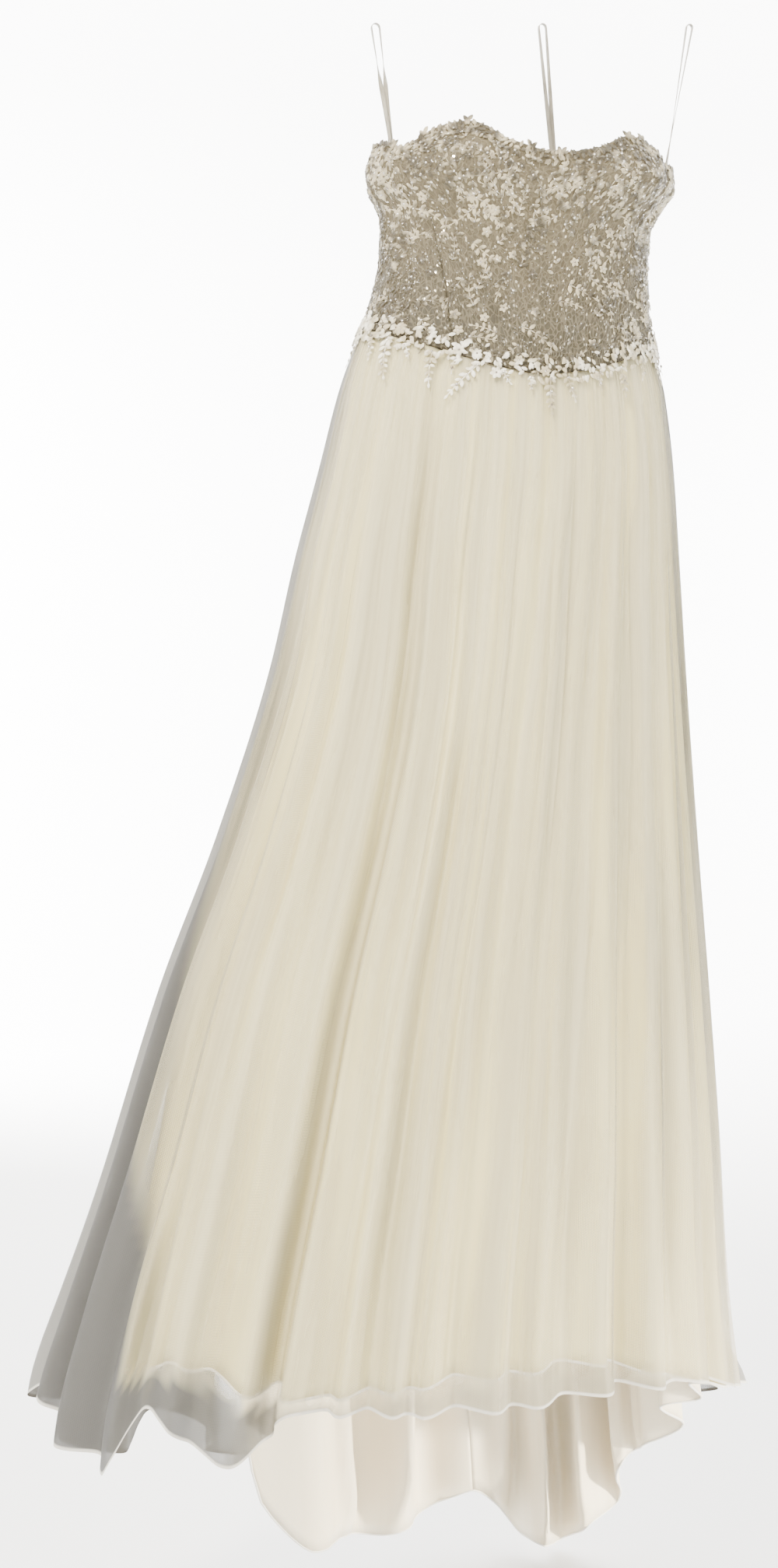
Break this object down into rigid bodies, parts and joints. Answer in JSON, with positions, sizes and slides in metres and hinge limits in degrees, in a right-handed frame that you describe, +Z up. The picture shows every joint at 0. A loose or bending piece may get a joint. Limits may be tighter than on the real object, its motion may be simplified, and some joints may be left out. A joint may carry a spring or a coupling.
{
  "type": "wedding dress",
  "caption": "Strapless sweetheart wedding dress with lace bodice, scalloped lace border, gathered net over a lined skirt with a short train, hanging empty by its ribbon hanger loops.",
  "frame": {"origin": "top of the middle hanger loop, where the dress is held", "axes": "+Z up along the hanging dress, front of the bodice towards -Y, +X towards the wearer's left"},
  "size_m": [0.8479, 0.5963, 1.8252],
  "materials": {
    "bodice_satin": "ivory satin under beaded corded lace",
    "lace": "matt ivory corded lace with clear beads",
    "net": "soft sheer net",
    "skirt_lining": "warm ivory satin with a soft sheen",
    "ribbon": "narrow satin tape"
  },
  "bodies": {
    "root": {"bodice_front": "bodice_satin", "bodice_side_left": "bodice_satin", "bodice_side_right": "bodice_satin", "bodice_back_left": "bodice_satin", "bodice_back_right": "bodice_satin", "back_placket": "bodice_satin", "neckline_lace": "lace", "lace_border_front": "lace", "lace_border_back": "lace", "net_front": "net", "net_back_left": "net", "net_back_right": "net", "lining_front": "skirt_lining", "lining_back_left": "skirt_lining", "lining_back_right": "skirt_lining", "hanger_loop_left": "ribbon", "hanger_loop_right": "ribbon", "hanger_loop_back": "ribbon"}
  },
  "joints": []
}
